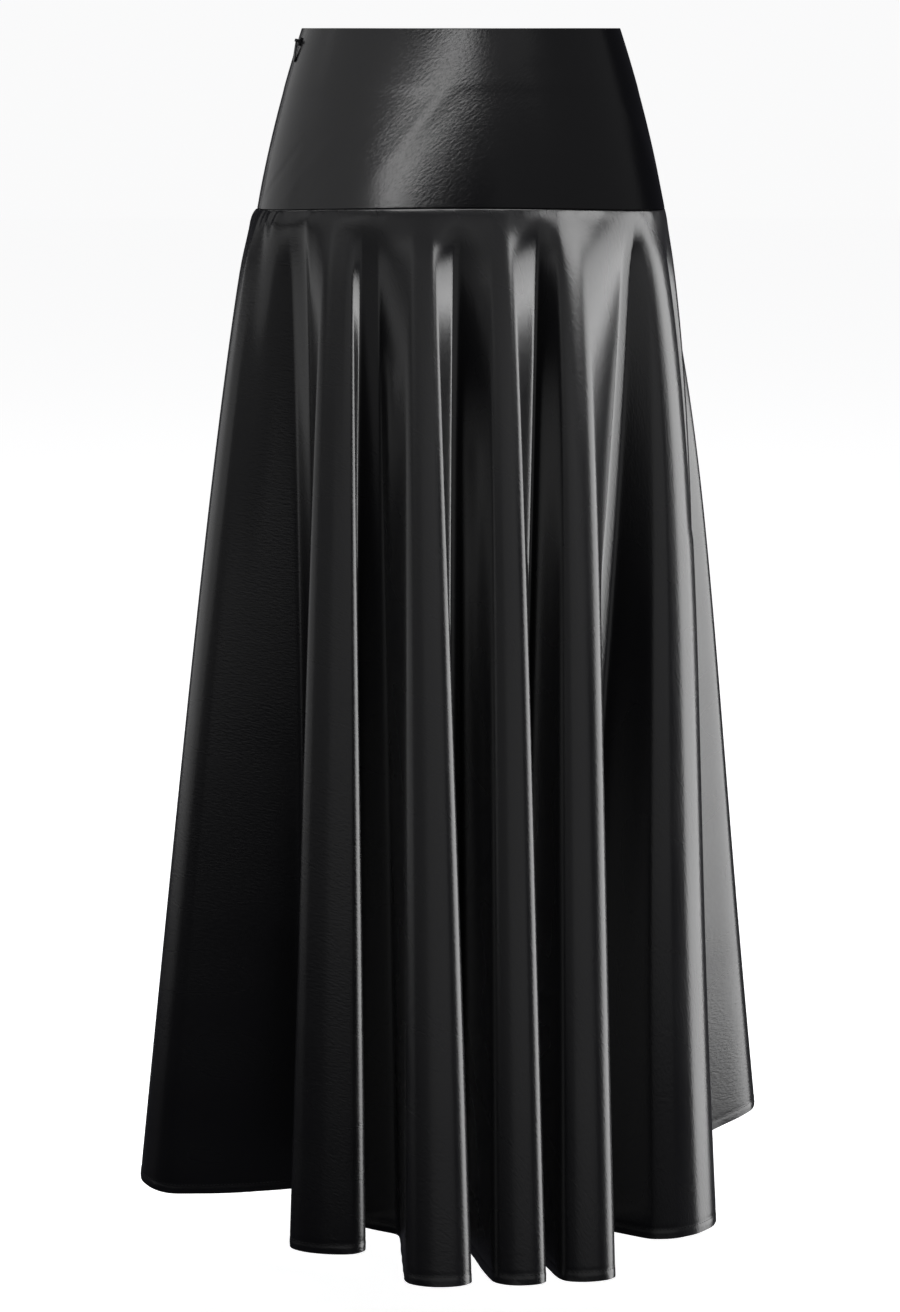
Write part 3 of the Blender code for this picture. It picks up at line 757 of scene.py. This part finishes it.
def zip_grid():
    """The surface over the zip's tape, from the waist to a little below the hip seam."""
    seam = math.radians(ZIP_SEAM_DEG)
    for_one_radian = math.hypot(WAIST_HALF_WIDTH * math.cos(seam), WAIST_HALF_DEPTH * math.sin(seam))
    angles = seam + np.linspace(-1, 1, ZIP_TAPE_COLUMNS) * ZIP_TAPE_HALF_WIDTH / for_one_radian
    on_yoke = np.linspace(ZIP_TAPE_TOP, HIP_SEAM_DROP_FRONT, ZIP_TAPE_YOKE_ROWS)
    on_skirt = HIP_SEAM_DROP_FRONT + np.linspace(*ZIP_TAPE_BELOW_SEAM, ZIP_TAPE_SKIRT_ROWS)
    return grid_of(side_row, angles, np.concatenate([on_yoke, on_skirt]))


def zip_tape_cloth(material):
    """The tape lies just inside the seam. Returns it, its flat size and the middle of its inner side."""
    grid = zip_grid()
    middle = ZIP_TAPE_COLUMNS // 2
    behind = grid.points - grid.out * (CLOTH + ZIP_TAPE_BEHIND)
    line = behind[:, middle : middle + 1]
    spread = behind - line
    lengths = np.maximum(np.linalg.norm(spread, axis=2, keepdims=True), 1e-9)
    places = np.linspace(-1, 1, ZIP_TAPE_COLUMNS) * ZIP_TAPE_HALF_WIDTH
    outer = line + spread / lengths * np.abs(places)[:, None]
    inner = outer - grid.out * ZIP_TAPE
    cut = np.stack([np.tile(places, (len(behind), 1)), -grid.drop, np.zeros_like(grid.drop)], axis=-1)
    tape = shell("zip_tape_cloth", outer, inner, cut, (material, material))
    return tape, flat_size(cut), inner[:, middle], grid.across[:, middle], grid.out[:, middle]


def zip_coil(line, across, out, material):
    """The closed teeth: one flat coil of nylon along the inner side of the tape."""
    reached = np.concatenate([[0.0], np.cumsum(np.linalg.norm(np.diff(line, axis=0), axis=1))])
    steps = int((reached[-1] - 2 * COIL_PITCH) / COIL_PITCH) * COIL_TURN_STEPS
    places = COIL_PITCH + np.arange(steps) * COIL_PITCH / COIL_TURN_STEPS
    turns = np.arange(steps) * FULL_TURN / COIL_TURN_STEPS
    side, inward = unit(sampled(places, reached, across)), -unit(sampled(places, reached, out))
    axis = sampled(places, reached, line) + inward * (COIL_HALF_DEPTH + COIL_WIRE)
    cosine, sine = np.cos(turns)[:, None], np.sin(turns)[:, None]
    path = axis + side * COIL_HALF_WIDTH * cosine + inward * COIL_HALF_DEPTH * sine
    ahead = unit(np.gradient(path, axis=0))
    away = side * cosine + inward * sine
    away = unit(away - ahead * np.sum(away * ahead, axis=1, keepdims=True))
    level = np.cross(ahead, away)
    corners = np.arange(COIL_WIRE_SIDES) * FULL_TURN / COIL_WIRE_SIDES
    rings = path[:, None] + COIL_WIRE * (
        away[:, None] * np.cos(corners)[:, None] + level[:, None] * np.sin(corners)[:, None]
    )
    return mesh_piece("zip_coil", rings.reshape(-1, 3), tube((steps, COIL_WIRE_SIDES)), material)


# Pieces

PANELS = (("front", ZIP_SEAM_DEG, PLAIN_SEAM_DEG), ("back", PLAIN_SEAM_DEG, ZIP_SEAM_DEG + 360))


def dress_side(side, start_deg, end_deg):
    """The yoke, the skirt and the hem's stitches of the front or the back."""
    yoke, (yoke_flat, yoke_area) = yoke_panel(f"yoke_{side}_cloth", start_deg, end_deg, (yoke_satin, reverse))
    on_body(yoke, "garment", "satin", f"yoke_{side}")
    skirt, (skirt_flat, skirt_area), grid, raised = skirt_panel(
        f"skirt_{side}_cloth", start_deg, end_deg, (skirt_satin, reverse)
    )
    on_body(skirt, "garment", "satin", f"skirt_{side}")
    stitches = on_body(hem_stitches(f"hem_stitches_{side}", grid, raised, thread), "garment", "satin")


def dress_zip():
    tape, (tape_flat, tape_area), *line = zip_tape_cloth(woven_tape)
    on_body(tape, "garment", "zip_tape", "zip_tape")
    coil = on_body(zip_coil(*line, nylon), "garment", "zip_tape")
    for name in ("zip_slider", "zip_pull"):
        bpy.data.objects[name].data.materials.clear()
        bpy.data.objects[name].data.materials.append(enamel)


for side, start_deg, end_deg in PANELS:
    dress_side(side, start_deg, end_deg)
dress_zip()

# Studio


def area_light(
    name,
    azimuth,
    elevation,
    distance,
    size,
    radiance,
    aim=(0, 0, -0.45),
    roll=0.0,
    shape="RECTANGLE",
    lights=None,
    unshaded=None,
):
    """A soft box with an even radiance, at an azimuth from the front towards +X.

    It lights only the pieces in lights, or all where none are named, and the pieces in unshaded cast no shadow of it.
    """
    data = bpy.data.lights.new(name, "AREA")
    data.shape = shape
    data.size, data.size_y = size
    data.energy = radiance * math.pi * size[0] * size[1] * (math.pi / 4 if shape == "ELLIPSE" else 1)
    light = bpy.data.objects.new(name, data)
    bpy.context.scene.collection.objects.link(light)
    a, e = math.radians(azimuth), math.radians(elevation)
    back = Vector((math.sin(a) * math.cos(e), -math.cos(a) * math.cos(e), math.sin(e)))
    light.location = Vector(aim) + back * distance
    rolled = Matrix.Rotation(math.radians(roll), 3, "Z")
    light.rotation_euler = (back.to_track_quat("Z", "Y").to_matrix() @ rolled).to_euler()
    if lights:
        light.light_linking.receiver_collection = collection_of(f"{name}_lights", lights)
    if unshaded:
        blockers = collection_of(f"{name}_blockers", unshaded)
        light.light_linking.blocker_collection = blockers
        for piece in blockers.collection_objects:
            piece.light_linking.link_state = "EXCLUDE"


def collection_of(name, pieces):
    collection = bpy.data.collections.new(name)
    for piece in pieces:
        collection.objects.link(bpy.data.objects[piece])
    return collection


# The photo's yoke and skirt shine in different directions, so each has lights of its own, set to match it. The key
# casts no shadow of the skirt on itself, which lights the flanks deep in the folds.
YOKE = ("yoke_front_cloth", "yoke_back_cloth", "zip_slider", "zip_pull")
SKIRT = (
    "skirt_front_cloth",
    "skirt_back_cloth",
    "hem_stitches_front",
    "hem_stitches_back",
    "zip_tape_cloth",
    "zip_coil",
)
HIPS = (0, 0, -0.07)
area_light("fill", 10, 3.5, 2.8, (3.4, 1.7), 0.46, lights=SKIRT)
area_light("high_front", -12, 31, 2.8, (4.6, 1.4), 0.42, lights=SKIRT)
area_light("front_left", -41, 4, 3.0, (2.3, 1.6), 0.24, lights=SKIRT)
area_light("left", -103, -2, 3.0, (4.6, 1.3), 0.75, lights=SKIRT)
area_light("left_high", -85, 34, 3.0, (4.2, 1.8), 0.50, lights=SKIRT)
area_light("key", 96, 0, 2.8, (2.5, 3.2), 5.6, shape="ELLIPSE", lights=SKIRT, unshaded=SKIRT)
area_light("hip_glow", 62, 33, 2.6, (1.5, 1.1), 8.0, aim=(0, 0, -0.2), lights=SKIRT)
area_light("yoke_band", -16, 21, 2.6, (0.36, 2.2), 8.5, aim=HIPS, roll=-56, lights=YOKE)
area_light("yoke_front_left", -60, 18, 3.0, (3.7, 2.4), 0.60, aim=HIPS, lights=YOKE)
area_light("yoke_left", -122, 15, 3.0, (3.2, 2.4), 0.60, aim=HIPS, lights=YOKE)
area_light("yoke_right", 60, 15, 3.0, (6.4, 2.4), 0.16, aim=HIPS, lights=YOKE)
area_light("yoke_glow", 26, 33, 2.6, (1.4, 0.7), 0.35, aim=HIPS, lights=YOKE)
area_light("top", 0, 88, 2.4, (1.9, 1.9), 6.5)

FLOOR_Z = -1.04
STUDIO_RADIUS = 14.0
STUDIO_HEIGHT = 12.0
STUDIO_SIDES = 96


def studio_walls():
    """A pale floor and a round backdrop that meet without a line. The camera sees them, and the satin doesn't."""
    turns = np.arange(STUDIO_SIDES) * FULL_TURN / STUDIO_SIDES
    ring = np.column_stack([np.sin(turns), np.cos(turns), np.zeros(STUDIO_SIDES)]) * STUDIO_RADIUS
    low, high = ring + (0, 0, FLOOR_Z), ring + (0, 0, STUDIO_HEIGHT)
    sides = np.arange(STUDIO_SIDES)
    following = np.roll(sides, -1)
    walls = np.stack([sides, following, following + STUDIO_SIDES, sides + STUDIO_SIDES], axis=-1).tolist()
    floor = mesh_piece("floor", low, [sides[::-1].tolist()], pale)
    backdrop = mesh_piece("backdrop", np.concatenate([low, high]), walls, pale)
    for obj in (floor, backdrop):
        obj.visible_glossy = False
        obj.visible_diffuse = False
        obj.visible_shadow = False


pale, _, pale_shader = new_material("pale_floor")
pale_shader.inputs["Base Color"].default_value = (0.8, 0.8, 0.8, 1)
pale_shader.inputs["Roughness"].default_value = 0.9
pale_shader.inputs["Specular IOR Level"].default_value = 0.0
pale_shader.inputs["Emission Color"].default_value = (1, 1, 1, 1)
pale_shader.inputs["Emission Strength"].default_value = 0.93
studio_walls()

world = bpy.data.worlds.new("studio")
world.use_nodes = True
world.node_tree.nodes["Background"].inputs["Color"].default_value = (0.025, 0.025, 0.03, 1)
bpy.context.scene.world = world

scene = bpy.context.scene
scene.view_settings.view_transform = "Standard"

LENS_MM = 77.98
SENSOR_MM = 36
CAMERA_PLACE = (-0.0083, -2.2, 0.0)
CAMERA_TILT_DEG = 12.46  # how far it looks down

camera_data = bpy.data.cameras.new("camera")
camera_data.lens = LENS_MM
camera_data.sensor_width = SENSOR_MM
camera = bpy.data.objects.new("camera", camera_data)
scene.collection.objects.link(camera)
camera.location = CAMERA_PLACE
camera.rotation_euler = (math.radians(90 - CAMERA_TILT_DEG), 0, 0)
scene.camera = camera
